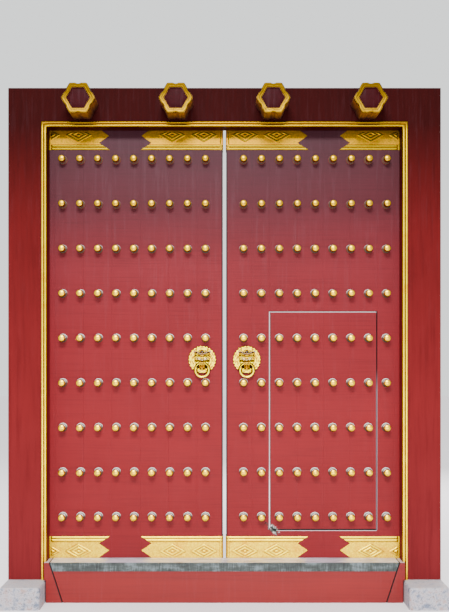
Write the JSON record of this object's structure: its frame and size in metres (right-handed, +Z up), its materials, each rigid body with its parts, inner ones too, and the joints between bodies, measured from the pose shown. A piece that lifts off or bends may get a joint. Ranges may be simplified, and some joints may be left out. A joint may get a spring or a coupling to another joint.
{
  "type": "temple gate with studded double doors",
  "caption": "Red lacquered double gate in its timber frame, with gilded studs, lion-head ring knockers, embossed corner wraps, a wicket door and a lift-out threshold.",
  "frame": {"origin": "on the ground, in the middle of the doorway and in the plane of the jambs' front faces", "axes": "+X along the wall, to the viewer's right; +Y into the building; +Z up"},
  "size_m": [3.59, 0.7, 4.258],
  "materials": {
    "red_lacquer": "aged red lacquer on timber, brushed and slightly faded, satin",
    "bare_timber": "old oiled softwood, dull",
    "gilded_wood": "gold leaf on turned and carved wood, worn, satin",
    "gilt_brass": "gilt sheet brass, embossed, slightly tarnished",
    "wrought_iron": "blackened wrought iron",
    "granite": "fine-grained pale granite, dressed",
    "grey_sheet": "galvanised sheet, dull and scuffed on top"
  },
  "bodies": {
    "frame": {"left_jamb": "red_lacquer", "right_jamb": "red_lacquer", "lintel": "red_lacquer", "pivot_beam": "bare_timber", "left_moulding": "gilded_wood", "right_moulding": "gilded_wood", "top_moulding": "gilded_wood", "hexagon_pin_1": "gilded_wood", "hexagon_pin_2": "gilded_wood", "hexagon_pin_3": "gilded_wood", "hexagon_pin_4": "gilded_wood", "pin_wedges": "bare_timber", "left_pillow_stone": "granite", "right_pillow_stone": "granite", "left_pivot_socket": "wrought_iron", "right_pivot_socket": "wrought_iron", "left_threshold_cheek": "red_lacquer", "right_threshold_cheek": "red_lacquer", "threshold_board": "red_lacquer", "threshold_cap": "grey_sheet"},
    "left_leaf": {"left_pivot_stile": "red_lacquer", "left_planks": "red_lacquer", "left_meeting_stile": "red_lacquer", "left_battens": "bare_timber", "left_studs": "gilded_wood", "left_top_meeting_wrap": "gilt_brass", "left_top_hinge_wrap": "gilt_brass", "left_bottom_meeting_wrap": "gilt_brass", "left_bottom_hinge_wrap": "gilt_brass", "left_knocker_plate": "gilt_brass", "left_pivot_shoe": "wrought_iron", "left_bar_staples": "wrought_iron"},
    "crossbar": {"crossbar": "bare_timber", "crossbar_peg": "bare_timber"},
    "left_ring": {"left_ring": "gilt_brass"},
    "right_leaf": {"right_pivot_stile": "red_lacquer", "right_meeting_stile": "red_lacquer", "right_inner_plank": "red_lacquer", "right_outer_plank": "red_lacquer", "right_upper_planks": "red_lacquer", "right_lower_planks": "red_lacquer", "right_battens": "bare_timber", "right_studs": "gilded_wood", "right_top_meeting_wrap": "gilt_brass", "right_top_hinge_wrap": "gilt_brass", "right_bottom_meeting_wrap": "gilt_brass", "right_bottom_hinge_wrap": "gilt_brass", "right_knocker_plate": "gilt_brass", "right_pivot_shoe": "wrought_iron", "right_bar_keeper": "wrought_iron", "wicket_pintles": "wrought_iron"},
    "right_ring": {"right_ring": "gilt_brass"},
    "wicket": {"wicket_planks": "red_lacquer", "wicket_battens": "bare_timber", "wicket_studs": "gilded_wood", "wicket_straps": "wrought_iron"}
  },
  "joints": [
    {"name": "left_leaf_pivot", "type": "hinge", "parent": "frame", "child": "left_leaf", "pos_m": [-1.555, 0.188, 2.1], "axis": [0, 0, 1], "range_deg": [0, 90]},
    {"name": "right_leaf_pivot", "type": "hinge", "parent": "frame", "child": "right_leaf", "pos_m": [1.555, 0.188, 2.1], "axis": [0, 0, -1], "range_deg": [0, 90]},
    {"name": "wicket_hinge", "type": "hinge", "parent": "right_leaf", "child": "wicket", "pos_m": [1.285, 0.256, 1.5], "axis": [0, 0, -1], "range_deg": [0, 90]},
    {"name": "left_ring_swing", "type": "hinge", "parent": "left_leaf", "child": "left_ring", "pos_m": [-0.188, 0.098, 1.96499], "axis": [-1, 0, 0], "range_deg": [0, 90]},
    {"name": "right_ring_swing", "type": "hinge", "parent": "right_leaf", "child": "right_ring", "pos_m": [0.188, 0.098, 1.96499], "axis": [-1, 0, 0], "range_deg": [0, 90]},
    {"name": "crossbar_slide", "type": "slide", "parent": "left_leaf", "child": "crossbar", "axis": [-1, 0, 0], "range_m": [-0.54, 0]}
  ]
}
